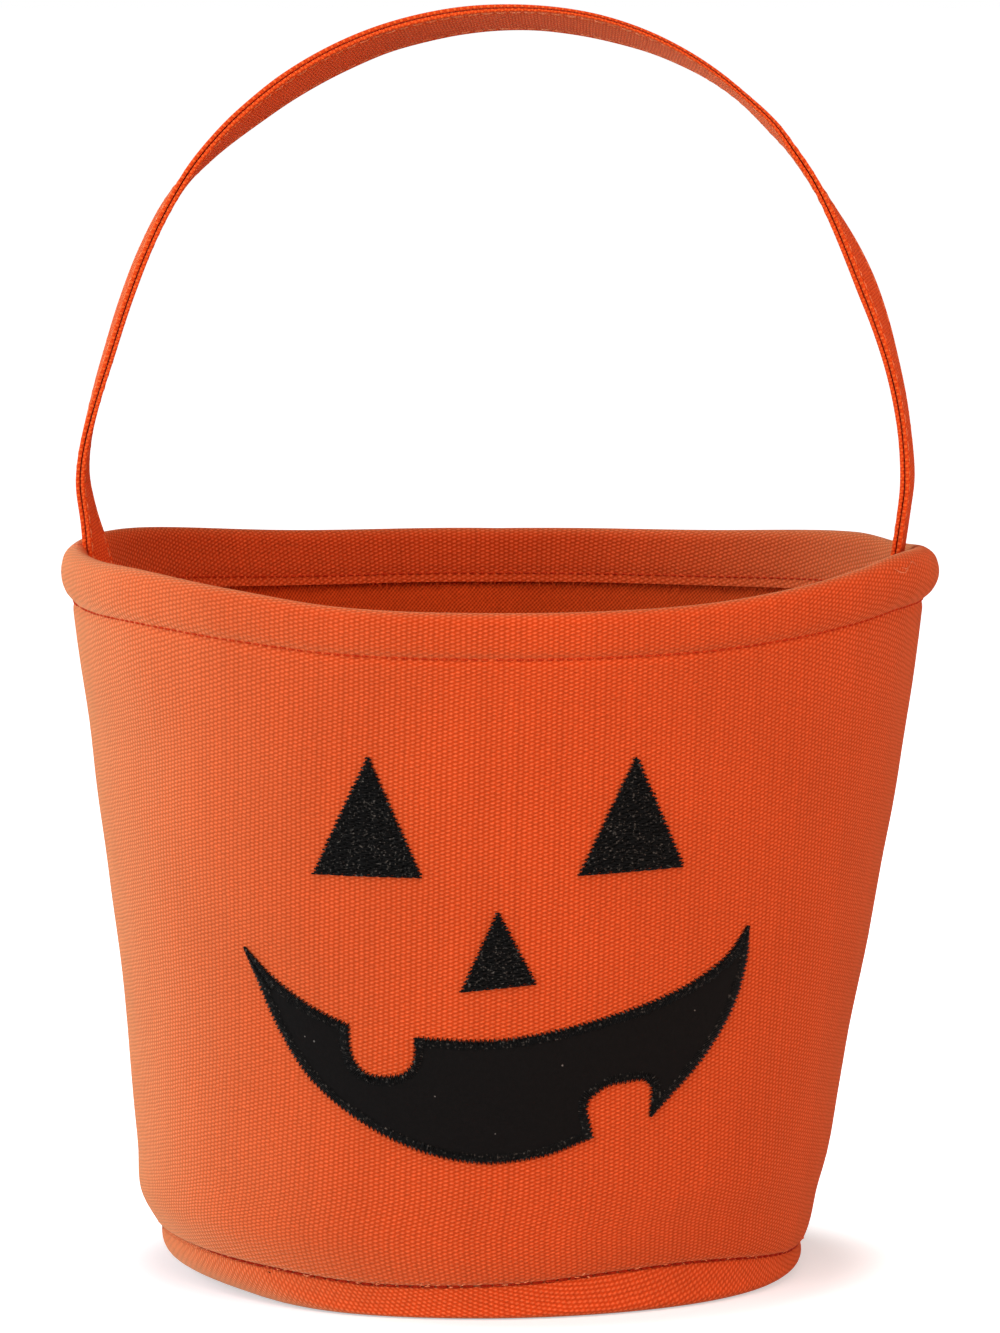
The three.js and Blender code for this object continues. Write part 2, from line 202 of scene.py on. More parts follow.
def wall_point(turn, height, depth):
    """A point of the wall: turn in radians from the front, height above the floor and depth
    below the outside, before the cloth settles."""
    tuck = max(0, 1 - (height - SEAM_HEIGHT) / FOOT_TUCK_HEIGHT)
    outer_share = 1 - 2 * depth / HEM_STACK
    radius = straight_radius(height) - FOOT_TUCK * tuck * tuck - depth
    radius += BELLY * bulge(height - BELLY_HEIGHT, BELLY_REACH)
    degrees = turn_degrees(turn)
    radius += along(RIGHT_SWELL, degrees) * smooth((height - RIGHT_SWELL_FROM) / RIGHT_SWELL_RISE)
    radius += along(LEFT_SWELL, degrees) * smooth((height - LEFT_SWELL_FROM) / LEFT_SWELL_RISE)
    up_hem = min(1, max(0, (height - STITCH_HEIGHT) / (RIM_HEIGHT - STITCH_HEIGHT)))
    if up_hem > 0:
        thickening = 1 - HEM_FADE * (1 - outer_share)
        roundness = math.sin(math.pi * up_hem ** HEM_FULLNESS)
        radius += along(HEM_SWELL, degrees) * roundness * thickening
    above_stitches = height - STITCH_HEIGHT
    pucker = noise.noise(Vector((turn * STITCH_RADIUS / PUCKER_LENGTH, 5, 2)))
    radius -= STITCH_SINK * outer_share * bulge(above_stitches, STITCH_SINK_REACH)
    radius += STITCH_PUCKER * pucker * bulge(above_stitches - PUCKER_ABOVE, PUCKER_REACH)
    place = Vector((radius * math.sin(turn), -radius * math.cos(turn), height))
    return settle(place, turn, height)


def on_face(x, z, proud):
    """A point on the front of the wall, from where it is seen in front view."""
    turn = math.asin(x / straight_radius(z))
    return wall_point(turn, z, -proud)


# Meshes

def new_object(name, points, faces, material, flat=None):
    mesh = bpy.data.meshes.new(name)
    mesh.from_pydata([Vector(p) * MM for p in points], [], faces)
    mesh.materials.append(material)
    if flat:
        layer = mesh.uv_layers.new(name="cut")
        for loop, place in zip(layer.data, (p for face in flat for p in face)):
            loop.uv = place
    shell = bmesh.new()
    shell.from_mesh(mesh)
    bmesh.ops.recalc_face_normals(shell, faces=shell.faces)
    shell.to_mesh(mesh)
    shell.free()
    mesh.shade_smooth()
    mesh.set_sharp_from_angle(angle=math.radians(60))
    made = bpy.data.objects.new(name, mesh)
    bpy.context.scene.collection.objects.link(made)
    return made


def woven_sheet(name, material, rows, flat, looped=False, capped=False):
    """A sheet from rows of points, with the flat cut of the cloth in millimetres as its UVs.
    A looped sheet closes on itself along its rows, and its cut has one more place a row."""
    width = len(rows[0])
    points = [p for row in rows for p in row]
    faces, cut = [], []
    for j in range(len(rows) - 1):
        for i in range(width if looped else width - 1):
            k = (i + 1) % width
            faces.append((j * width + i, j * width + k, (j + 1) * width + k, (j + 1) * width + i))
            cut.append((flat[j][i], flat[j][i + 1], flat[j + 1][i + 1], flat[j + 1][i]))
    if capped:
        first = list(range(width))
        last = [(len(rows) - 1) * width + i for i in reversed(range(width))]
        faces += [first[::-1], last[::-1]]
        cut += [[flat[0][i] for i in first[::-1]], [flat[-1][i % width] for i in last[::-1]]]
    return new_object(name, points, faces, material, cut)


def tube(points, radius):
    """Points and faces of a thread that thins and closes at its ends."""
    sides = 5
    verts, faces = [], []
    up = Vector((0.31, 0.17, 0.93))
    count = len(points)
    for n, place in enumerate(points):
        ahead = points[min(n + 1, count - 1)] - points[max(n - 1, 0)]
        across = ahead.cross(up).normalized()
        other = across.cross(ahead).normalized()
        thin = 0.45 if n in (0, count - 1) else 1
        for s in range(sides):
            angle = 2 * math.pi * s / sides
            sideways = across * math.cos(angle) + other * math.sin(angle)
            verts.append(place + sideways * radius * thin)
    for n in range(count - 1):
        for s in range(sides):
            k = (s + 1) % sides
            faces.append((n * sides + s, (n + 1) * sides + s, (n + 1) * sides + k, n * sides + k))
    faces.append(tuple(range(sides)))
    faces.append(tuple((count - 1) * sides + s for s in reversed(range(sides))))
    return verts, faces


def threads(name, material, strands, radius):
    """One object from many short threads, each a list of points."""
    points, faces = [], []
    for strand in strands:
        verts, skin = tube(strand, radius * dice.uniform(0.9, 1.1))
        faces += [tuple(i + len(points) for i in face) for face in skin]
        points += verts
    return new_object(name, points, faces, material)


def strip(middle, thickness):
    """Closed section round a middle line: its outer side, and its inner side back."""
    line = [Vector(p) for p in middle]
    outside, inside = [], []
    for n, place in enumerate(line):
        ahead = (line[min(len(line) - 1, n + 1)] - line[max(0, n - 1)]).normalized()
        across = Vector((ahead.y, -ahead.x)) * thickness / 2
        outside.append(place + across)
        inside.append(place - across)
    return outside + inside[::-1]


# Stitches: their length, the gap between them and how far they stand out
HEM_STITCH = (2.05, 0.65, 0.42)
SEAM_STITCH = (3, 0.5, 0.3)
STRAP_STITCH = (3.1, 0.7, 0.32)
BOX_STITCH = (2.3, 0.8, 0.34)


def running_stitches(total, point_at, length, gap, lift):
    """Splits a line of some total length into stitches that dip at their ends.
    point_at(distance) gives a point and the outward direction there."""
    place = 0
    strands = []
    while place + length < total:
        strand = []
        for share in (0, 0.15, 0.5, 0.85, 1):
            point, outwards = point_at(place + share * length)
            proud = lift * math.sin(math.pi * share) ** 0.5 - 0.2
            strand.append(point + outwards * proud)
        strands.append(strand)
        place += length + gap
    return strands


# Materials

def srgb(hex_colour):
    """A colour written as its sRGB hex value, turned to linear."""
    channels = [int(hex_colour[i:i + 2], 16) / 255 for i in (1, 3, 5)]
    return [c / 12.92 if c <= 0.04045 else ((c + 0.055) / 1.055) ** 2.4 for c in channels] + [1]


def add(tree, kind, inputs=(), stops=(), **settings):
    """Adds a shader node with its settings. Each of its inputs gets a value, another node's
    output, or a node, meaning its first output. stops are a colour ramp's (place, colour)."""
    node = tree.nodes.new("ShaderNode" + kind)
    for name, value in settings.items():
        setattr(node, name, value)
    for name, value in dict(inputs).items():
        if isinstance(value, bpy.types.Node):
            value = value.outputs[0]
        if isinstance(value, bpy.types.NodeSocket):
            tree.links.new(value, node.inputs[name])
        else:
            node.inputs[name].default_value = value
    if stops:
        ramp = node.color_ramp.elements
        ramp.remove(ramp[1])
        ramp[0].position = stops[0][0]
        ramp[0].color = srgb(stops[0][1])
        for place, colour in stops[1:]:
            ramp.new(place).color = srgb(colour)
    return node


def new_material(name):
    material = bpy.data.materials.new(name)
    material.use_nodes = True
    material.node_tree.nodes.clear()
    return material, material.node_tree


def finish_material(material, shader):
    add(material.node_tree, "OutputMaterial", {"Surface": shader})
    return material


def weave(tree, ends, picks, waver, slant, rib, column):
    """Height of a plain weave from 0 to 1, from the cloth's cut in millimetres. ends and picks
    are the spacings of its threads, and waver how far they wander. slant joins the raised
    threads along one diagonal, rib into bars across the cut, and column into rows up it."""
    cut = add(tree, "TexCoord").outputs["UV"]
    drift = add(tree, "TexNoise", {"Vector": cut, "Scale": 0.16, "Detail": 2},
                noise_dimensions="2D").outputs["Color"]
    centred = add(tree, "VectorMath", {0: drift, 1: (0.5, 0.5, 0.5)}, operation="SUBTRACT")
    scaled = add(tree, "VectorMath", {0: centred, "Scale": waver}, operation="SCALE")
    moved = add(tree, "VectorMath", {0: cut, 1: scaled}, operation="ADD")
    places = add(tree, "SeparateXYZ", {0: moved}).outputs
    turns = [add(tree, "Math", {0: place, 1: math.pi / spacing}, operation="MULTIPLY")
             for place, spacing in ((places[0], ends), (places[1], picks))]
    waves = {kind: [add(tree, "Math", {0: turn}, operation=kind) for turn in turns]
             for kind in ("COSINE", "SINE")}
    raised, leaning = (add(tree, "Math", {0: pair[0], 1: pair[1]}, operation="MULTIPLY")
                       for pair in waves.values())
    crossing = add(tree, "Math", {0: leaning, 1: slant, 2: raised}, operation="MULTIPLY_ADD")
    for wave, share in zip(waves["COSINE"], (column, rib)):
        bars = add(tree, "Math", {0: wave, 1: wave}, operation="MULTIPLY")
        crossing = add(tree, "Math", {0: bars, 1: share, 2: crossing}, operation="MULTIPLY_ADD")
    height = add(tree, "MapRange", {"Value": crossing, "From Min": 0.6 * column - 0.8,
                                    "From Max": 0.75 + rib + column},
                 interpolation_type="SMOOTHSTEP")
    which_end = add(tree, "Math", {0: places[0], 1: ends}, operation="DIVIDE")
    which_end = add(tree, "Math", {0: which_end}, operation="FLOOR")
    shade = add(tree, "TexWhiteNoise", {"W": which_end}, noise_dimensions="1D").outputs["Value"]
    return height, shade, cut


def woven_cloth(name, gap_colour, body_colour, top_colour, ends, picks, relief, waver=0.5,
                slant=0.22, rib=0.0, column=0.0, sheen=0.44, painted_sheen=0.24):
    """Dyed polyester canvas: dull threads, with painted shade in the gaps where they dive and
    painted light on their crowns.
    Where it is seen from the side, a paler colour is mixed in as a painted sheen, and the shader's
    sheen catches side light.
    Both are stronger where it faces -x, the side the lamps light most, so that side is painted
    paler: painted light. They do so more where it faces -x, as if brushed: a guess that fits the
    paler left of the photo."""
    material, tree = new_material(name)
    height, shade, cut = weave(tree, ends, picks, waver, slant, rib, column)
    # Painted shade and light: the gap colour darkens the weave where its threads dive, as shade, and
    # the top colour lightens their raised crowns, as light, over the bump's own shading.
    shaded_weave = add(tree, "ValToRGB", {"Fac": height},
               [(0, gap_colour), (0.45, body_colour), (1, top_colour)])
    # Uneven dye: from one thread to the next, and in wide and small patches
    tone = add(tree, "Math", {0: shade, 1: 0.06, 2: 0.97}, operation="MULTIPLY_ADD")
    for scale, strength in ((0.03, 0.14), (0.85, 0.3)):
        patches = add(tree, "TexNoise", {"Vector": cut, "Scale": scale, "Detail": 2},
                      noise_dimensions="2D")
        share = add(tree, "Math", {0: patches, 1: strength, 2: 1 - strength / 2},
                    operation="MULTIPLY_ADD")
        tone = add(tree, "Math", {0: tone, 1: share}, operation="MULTIPLY")
    colour = add(tree, "VectorMath", {0: shaded_weave, "Scale": tone}, operation="SCALE")
    bump = add(tree, "Bump", {"Height": height, "Strength": 0.9, "Distance": relief * MM})
    # Painted sheen: where the cloth is seen from the side, the pale colour #f4c07c is mixed into its
    # colour, fully where it faces -x, where the lamps stand, and at 0.3 of that where it faces +x:
    # painted light. The shader's sheen weight is scaled by the same side.
    facing = add(tree, "LayerWeight", {"Blend": 0.5}).outputs["Facing"]
    normal = add(tree, "NewGeometry").outputs["Normal"]
    sideways = add(tree, "SeparateXYZ", {"Vector": normal})
    lit_side = add(tree, "MapRange", {"Value": sideways, "From Min": 0.7, "From Max": -0.5,
                                 "To Min": 0.3, "To Max": 1})
    lit_sheen, painted_sheen_share = (add(tree, "Math", {0: lit_side, 1: most}, operation="MULTIPLY")
                           for most in (sheen, painted_sheen))
    painted_sheen_mask = add(tree, "Math", {0: facing, 1: painted_sheen_share}, operation="MULTIPLY")
    colour = add(tree, "Mix", {"Factor": painted_sheen_mask, "A": colour, "B": srgb("#f4c07c")},
                 data_type="RGBA").outputs["Result"]
    shader = add(tree, "BsdfPrincipled",
                 {"Base Color": colour, "Normal": bump, "Roughness": 0.85, "IOR": 1.5,
                  "Specular IOR Level": 0.02, "Sheen Weight": lit_sheen, "Sheen Roughness": 0.42,
                  "Sheen Tint": srgb("#ffd8ae")})
    return finish_material(material, shader)


def grained(name, grain, stops, strength, depth, finish, lint=None):
    """A material of fibres, cells or twisted plies. grain holds the settings of a noise in the
    object's own space, finish those of the shader, and depth is the bump's in millimetres. lint
    is the colour of a few specks."""
    material, tree = new_material(name)
    place = add(tree, "TexCoord").outputs["Object"]
    height = add(tree, "TexNoise", {"Vector": place} | grain)
    colour = add(tree, "ValToRGB", {"Fac": height}, stops)
    bump = add(tree, "Bump", {"Height": height, "Strength": strength, "Distance": depth * MM})
    if lint:
        specks = add(tree, "TexVoronoi", {"Vector": place, "Scale": 0.17 / MM})
        is_speck = add(tree, "Math", {0: specks, 1: 0.043}, operation="LESS_THAN")
        colour = add(tree, "Mix", {"Factor": is_speck, "A": colour, "B": srgb(lint)},
                     data_type="RGBA").outputs["Result"]
    shader = add(tree, "BsdfPrincipled", {"Base Color": colour, "Normal": bump} | finish)
    return finish_material(material, shader)


def spun_thread(name, dark, light, painted_glint, roughness, twist):
    """Polyester sewing thread: two plies twisted, a little silky. Its palest colour, on random
    flecks, is a painted glint.
    """
    return grained(name, {"Scale": 1 / (twist * MM), "Detail": 2},
                   [(0.4, dark), (0.59, light), (0.76, painted_glint)], 0.5, 0.1,
                   {"Roughness": roughness, "IOR": 1.5, "Specular IOR Level": 0.07})


def pressed_felt(name, dark, light, lint):
    """Pressed polyester felt: matted fibres, no weave, with a few pale specks of lint."""
    return grained(name, {"Scale": 0.9 / MM, "Detail": 4, "Roughness": 0.7},
                   [(0, dark), (1, light)], 0.6, 0.25,
                   {"Roughness": 0.95, "IOR": 1.5, "Specular IOR Level": 0.06,
                    "Sheen Weight": 0.03}, lint)


def plain_sheet(name, dark, light, roughness, grain):
    """Foam or board: one dull colour, mottled at the size of its cells or fibres."""
    return grained(name, {"Scale": 1 / (grain * MM), "Detail": 3}, [(0, dark), (1, light)],
                   0.4, 0.2, {"Roughness": roughness})


# Spacing of the cloth's raised nubs across it and up it, in millimetres
ENDS, PICKS = 1.45, 0.55
STRAP_ENDS, STRAP_PICKS = 1.2, 0.9
# Each cloth's first colour is the painted shade in its gaps, its last the painted light on its
# crowns.
wall_canvas = woven_cloth("orange canvas", "#bb3d13", "#d54c25", "#e06236", ENDS, PICKS, 0.2,
                          column=0.8)
strap_canvas = woven_cloth("orange strap canvas", "#c03a10", "#de4a1c", "#ea652c", STRAP_ENDS,
                           STRAP_PICKS, 0.18, slant=0.1, rib=0.9, sheen=0.2, painted_sheen=0)
lining_cloth = woven_cloth("orange lining cloth", "#a8350c", "#c84418", "#d45322", 0.6, 0.6, 0.12,
                           waver=0.9, sheen=0.1, painted_sheen=0.1)
black_backing = woven_cloth("black backing cloth", "#040404", "#0a0909", "#121010", 0.7, 0.7, 0.15,
                            sheen=0, painted_sheen=0)
black_felt = pressed_felt("black felt", "#080707", "#141212", "#66625f")
# The last colour of each thread is its painted glint, a painted highlight.
black_thread = spun_thread("black embroidery thread", "#020202", "#080707", "#5e5954", 0.6, 0.7)
hem_thread = spun_thread("dark orange sewing thread", "#a6280d", "#c03a13", "#d65527", 0.7, 0.5)
seam_thread = spun_thread("dark red sewing thread", "#881808", "#a62a0d", "#c2451c", 0.7, 0.5)
pale_thread = spun_thread("pale orange sewing thread", "#cf6a3c", "#e88c60", "#f4b494", 0.6, 0.5)
ravelled_yarn = spun_thread("ravelled orange yarn", "#a8350f", "#cc4c1e", "#de6c3c", 0.8, 0.5)
white_foam = plain_sheet("white foam", "#dedbd2", "#f2efe8", 0.95, 1.2)
grey_board = plain_sheet("grey board", "#7d7c78", "#979690", 0.6, 2)

# Walls

FRONT = (-90, 90)
BACK = (90, 270)
CONE_SHARE = WALL_SLOPE / math.hypot(1, WALL_SLOPE)


def place_on_cut(turn, middle_turn, travel):
    """Where a point of the wall lies on its flat, fan-shaped cut."""
    from_apex = FOOT_RADIUS / CONE_SHARE + travel
    angle = (turn - middle_turn) * CONE_SHARE
    return from_apex * math.sin(angle), from_apex * math.cos(angle)


def travel_along(section, closed=False):
    """Distance along a section to each of its points."""
    travel = [0]
    loop = list(section) + (list(section[:1]) if closed else [])
    for a, b in zip(loop, loop[1:]):
        travel.append(travel[-1] + math.dist(a, b))
    return travel


def wall_piece(name, material, half, middle, thickness, turn_step):
    """Sweeps a layer of cloth or foam, given by its middle line as (height, depth), round one
    half of the bucket. It rounds off where it turns into the side seams."""
    travel = travel_along(strip(middle, thickness), closed=True)
    first, last = (math.radians(t) for t in half)
    rounding = thickness * 0.7
    from_seam = [0, 0.1, 0.25, 0.5, 0.9, 1.5]
    turns = [first + d / STITCH_RADIUS for d in from_seam]
    turns += [math.radians(t) for t in steps(half[0] + 1.5, half[1] - 1.5, turn_step)]
    turns += [last - d / STITCH_RADIUS for d in reversed(from_seam)]
    centre = (first + last) / 2
    rows, flat = [], []
    for t in turns:
        off = max(0, 1 - min(t - first, last - t) * STITCH_RADIUS / rounding)
        section = strip(middle, thickness * max(0.04, math.sqrt(1 - off * off)))
        rows.append([wall_point(t, h, d) for h, d in section])
        flat.append([place_on_cut(t, centre, s) for s in travel])
    piece = woven_sheet(name, material, rows, flat, looped=True, capped=True)
    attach(piece, "bucket")
    return piece


def wall_heights(low, high):
    """Heights up the wall, close together where it bends at the foot and the topstitching."""
    stitches = STITCH_HEIGHT
    bends = steps(low, low + 6, 0.7) + steps(low + 8, low + 18, 2)
    bends += steps(low + 22, stitches - 4, 5) + steps(stitches - 3, stitches + 4, 0.5)
    bends += steps(stitches + 5, RIM_HEIGHT, 1.2)
    return [h for h in bends if h < high - 0.3] + [high]


def canvas_middle():
    """Middle line of the wall cloth: turned in at the base seam, up the wall, over the hem
    and down the facing to its cut edge."""
    half = CANVAS / 2
    foot = SEAM_HEIGHT + 0.05
    curl = [(foot + half, 4), (foot + half, 2), (foot + half + 0.05, 1.4), (foot + half + 0.3, 0.9)]
    wall = [(h, half) for h in wall_heights(foot + half + 1, CREST_MIDDLE)]
    fold = (HEM_STACK - CANVAS) / 2
    over = [(CREST_MIDDLE + fold * math.sin(a), HEM_STACK / 2 - fold * math.cos(a))
            for a in steps(0.25, math.pi - 0.25, 0.22)]
    down = [(h, HEM_STACK - half) for h in steps(CREST_MIDDLE, RIM_HEIGHT - FACING_DEPTH, 1)]
    return curl + wall + over + down


def layer_middle(depth, top):
    return [(h, depth) for h in wall_heights(FLOOR_OF_LINING + 0.1, top)]


foam_middle = layer_middle(CANVAS + GAP + INTERLINING / 2, CREST_MIDDLE)
lining_middle = layer_middle(LINING_DEPTH + LINING / 2, RIM_HEIGHT - HEM_STACK)

for side, half in (("front", FRONT), ("back", BACK)):
    for name, node, finish, material, middle, thickness, turn_step in (
            ("canvas", "panel", "canvas", wall_canvas, canvas_middle(), CANVAS, 1.5),
            ("foam", "interlining", "foam", white_foam, foam_middle, INTERLINING, 3),
            ("lining_cloth", "lining", "lining", lining_cloth, lining_middle, LINING, 1.5)):
        layer = wall_piece(f"{side}_{name}", material, half, middle, thickness, turn_step)
        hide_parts(f"{side}_{node}")


# Base

def base_piece(name, material, section_at, turn_step=3):
    """Turns a closed section of (radius, height) about the bucket's axis. section_at(degrees)
    gives it at each turn."""
    rows, flat = [], []
    for t in (math.radians(d) for d in steps(0, 360, turn_step)):
        section = section_at(turn_degrees(t))
        across = [Vector((r * math.sin(t), -r * math.cos(t), h)) for r, h in section]
        rows.append([settle(p, t, p.z) for p in across])
        flat.append([(s * math.sin(t), -s * math.cos(t)) for s in travel_along(section)])
    piece = woven_sheet(name, material, rows, flat)
    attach(piece, "bucket")
    return piece


def base_edge_point(degrees, angle, inset=0):
    """A point of the round edge of the base, from the floor (0) to upright (90 degrees)."""
    inwards = along(BASE_EDGE, degrees)
    up = min(inwards, SEAM_HEIGHT - 0.5)
    flare = 0.8 * math.sin(2 * angle)
    reach = SEAM_RADIUS - inwards + (inwards - inset) * math.sin(angle) + flare
    return reach, up - (up - inset) * math.cos(angle)


def base_canvas_section(degrees):
    lip = SEAM_HEIGHT - 0.05
    puff = [base_edge_point(degrees, a) for a in steps(0, math.pi / 2, 0.13)]
    flat_part = [(puff[0][0] * k / 10, 0) for k in (0.01, 1, 2, 3, 4, 5, 6, 7, 8, 9, 9.6)]
    side = [(SEAM_RADIUS, puff[-1][1] + (lip - 0.9 - puff[-1][1]) * k) for k in (0.3, 0.6, 1)]
    turned_in = [(SEAM_RADIUS - 0.12, lip - 0.5), (SEAM_RADIUS - 0.5, lip - 0.15),
                 (SEAM_RADIUS - 1.1, lip), (SEAM_RADIUS - 4, lip)]
    back = [(SEAM_RADIUS - 4, lip - CANVAS), (SEAM_RADIUS - CANVAS - 1, lip - CANVAS - 0.3)]
    inner = [base_edge_point(degrees, a, CANVAS) for a in (1.4, 1, 0.6, 0.2)]
    return flat_part + puff + side + turned_in + back + inner + [(0.1, CANVAS)]


base = base_piece("base_canvas", wall_canvas, base_canvas_section, 2)
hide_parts("base_panel")

LINING_TUCK = 1.15  # how far the base lining reaches into the foot of the wall's layers
lining_edge = SEAM_RADIUS - WALL_STACK + LINING_TUCK


def plate(outer, low, high, rounding, crown=0):
    """Section of a flat round layer, with rounded edges and a slight crown."""
    top = [(outer * k / 12, high + crown * math.cos(math.pi / 2 * k / 12)) for k in range(12)]
    top[0] = (0.1, high + crown)
    edge = [(outer - rounding, high), (outer, high - rounding), (outer, low + rounding),
            (outer - rounding, low)]
    return (top + edge + [(0.1, low)])[::-1]


for name, node, section, material, finish in (
        ("base_lining_cloth", "base_lining",
         plate(lining_edge, FLOOR_OF_LINING, FLOOR_OF_LINING + LINING, 0.2, 0.5),
         lining_cloth, "lining"),
        ("base_stiffener", "base_board", plate(board_high.x, board_low.z, board_high.z, 0.4),
         grey_board, "board"),
        ("base_padding", "base_pad", plate(pad_high.x - 3, pad_low.z, pad_high.z, 1.6),
         white_foam, "foam")):
    layer = base_piece(name, material, lambda degrees: section)
    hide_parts(node)


# Strap

# How far the strap is twisted about its length, in degrees, along its arch from the right
# spring (0) over the top (90) to the left spring (180); its ends are sewn flat on the wall.
TWIST = [(-20, -6), (0, -6), (9, -5.2), (16, -6), (20, -7.6), (25, -8.6), (29, -7.6), (32, -5.5),
         (35, -3), (40, 0), (46, 1.5), (50, 4.8), (56, 4.6), (61, 6.4), (67, 9.4), (78, 14.2),
         (92, 14.8), (108, 15.8), (118, 15.4), (128, 11.6), (136, 5), (142, -1), (152, -3.4),
         (165, -3.2), (175, -0.5), (183, 3), (188, 10), (200, 10)]
# Where the twist presses the two plies flat, as a share of their thickness.
PRESSED = [(-20, 1), (44, 1), (52, 0.72), (84, 0.72), (100, 1), (200, 1)]
# How far the arch stands to the right of an even half ellipse, in millimetres.
SKEW = [(-10, 0), (5, -0.3), (20, -0.9), (35, -0.2), (47, 2.5), (60, 4.8), (70, 5.6), (80, 5.2),
        (95, 4.4), (110, 3.2), (125, 2), (140, 0), (151, 1.2), (159, 1.9), (165, 1.6), (171, 0.2),
        (177, -1.3), (183, -1.6), (188, -0.8), (190, 0)]
YAW = 6 / 113  # the right spring stands forward of the left one
SHIFT_BACK = 2


def strap_points():
    """The middle line of the strap, from the right end's foot over the arch to the left one's,
    as (angle on the arch, x, z)."""
    clear = GAP * 1.5 + STRAP_PLY
    tab = [(RIM_HEIGHT - TAB_DEPTH, WALL_STACK), (RIM_HEIGHT - FACING_DEPTH - 8, WALL_STACK),
           (RIM_HEIGHT - FACING_DEPTH - 4, HEM_STACK), (STITCH_HEIGHT, HEM_STACK)]
    line = [(-20 + 3 * i, straight_radius(h) - stack - clear, h + (4 if i == 3 else 0))
            for i, (h, stack) in enumerate(tab)]
    for angle in steps(0, 180, 3):
        a = math.radians(angle)
        x = ARCH_HALF_WIDTH * math.cos(a) + along(SKEW, angle)
        line.append((angle, x, ARCH_SPRING + ARCH_RISE * math.sin(a)))
    line += [(180 - angle, -x, z) for angle, x, z in reversed(line[:len(tab)])]
    return line


def even_line(points, spacing):
    """Splits a polyline into even pieces, with its corners rounded off."""
    places = [Vector(p) for p in points]
    travel = [0]
    for a, b in zip(places, places[1:]):
        travel.append(travel[-1] + (b.yz - a.yz).length)
    even, i = [], 0
    for place in steps(0, travel[-1], spacing):
        while i < len(travel) - 2 and travel[i + 1] < place:
            i += 1
        share = (place - travel[i]) / (travel[i + 1] - travel[i])
        even.append(places[i].lerp(places[i + 1], share))
    for _ in range(4):
        even[1:-1] = [(a + b * 2 + c) / 4 for a, b, c in zip(even, even[1:], even[2:])]
    return even


STRAP_STEP = 2
strap_line = even_line(strap_points(), STRAP_STEP)


def strap_frame(i):
    """Place, direction across and outward direction of the strap at a step of its line."""
    angle, x, z = strap_line[i]
    before, after = strap_line[max(0, i - 1)], strap_line[min(len(strap_line) - 1, i + 1)]
    run = after.y - before.y
    ahead = Vector((run, -run * YAW, after.z - before.z)).normalized()
    across = Vector((0, 1, 0))
    across = (across - ahead * across.dot(ahead)).normalized()
    outwards = across.cross(ahead)
    twist = math.radians(along(TWIST, angle))
    tilted = across * math.cos(twist) - outwards * math.sin(twist)
    outwards = outwards * math.cos(twist) + across * math.sin(twist)
    return Vector((x, SHIFT_BACK - x * YAW, z)), tilted, outwards


def ply_outline(outer):
    """Section of one ply as (across, outwards): its long edges are folded round and pinched at
    the edge stitching. The plies bow a little, so that no light comes through between them."""
    half = STRAP_WIDTH / 2
    fold = STRAP_PLY / 2
    flat = half - fold
    bow_side = 1 if outer else -1

    def puffiness(y):
        pinch = bulge(abs(y) - (half - EDGE_STITCH), PINCH_REACH)
        return STRAP_PLY + 0.12 * (1 - (y / half) ** 2) - 0.3 * pinch

    top = [(y, PLY_REST + puffiness(y)) for y in steps(-flat, flat, 0.9)]
    right = [(flat + fold * math.sin(a), PLY_REST + fold + fold * math.cos(a))
             for a in steps(0.4, math.pi - 0.3, 0.4)]
    under = [(y, PLY_REST + bow_side * PLY_BOW * math.cos(math.pi * y / STRAP_WIDTH) ** 2)
             for y in steps(flat - 0.4, 0.4 - flat, 2)]
    left = [(-y, z) for y, z in reversed(right)]
    section = top + right + under + left
    return section if outer else [(y, -z) for y, z in reversed(section)]


def strap_ply(name, outer):
    section = ply_outline(outer)
    travel = travel_along(section, closed=True)
    rows, flat = [], []
    for i in range(len(strap_line)):
        place, across, outwards = strap_frame(i)
        pressed = along(PRESSED, strap_line[i].x)
        wave = 1 + 0.12 * noise.noise(Vector((i * STRAP_STEP / 14, 3 if outer else 8, 0)))
        rows.append([place + across * y + outwards * z * pressed * wave for y, z in section])
        flat.append([(s, i * STRAP_STEP) for s in travel])
    piece = woven_sheet(name, strap_canvas, rows, flat, looped=True, capped=True)
    ends = "outer_ply" if outer else "inner_ply"
    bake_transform(piece)
    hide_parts(f"handle_{ends}", f"handle_left_end_{ends}", f"handle_right_end_{ends}")


strap_ply("strap_outer", True)
strap_ply("strap_inner", False)


def strap_stitches():
    """Topstitching along both edges, on both faces of the strap."""
    strands = []
    proud = PLY_REST + STRAP_PLY - 0.16
    total = (len(strap_line) - 1) * STRAP_STEP

    def line_at(edge, face):
        def point_at(distance):
            i = min(len(strap_line) - 2, int(distance / STRAP_STEP))
            share = distance / STRAP_STEP - i
            (p0, a0, o0), (p1, a1, o1) = strap_frame(i), strap_frame(i + 1)
            across, outwards = a0.lerp(a1, share), o0.lerp(o1, share)
            up = proud * along(PRESSED, strap_line[i].x)
            return p0.lerp(p1, share) + across * edge + outwards * face * up, outwards * face
        return point_at

    for edge in (-1, 1):
        for face in (-1, 1):
            at = line_at(edge * (STRAP_WIDTH / 2 - EDGE_STITCH), face)
            strands += running_stitches(total, at, *STRAP_STITCH)
    return strands


# From which to which step of the strap's line its sewn end has its box of stitches
BOX_FOOT, BOX_TOP = 1.5, 11.5


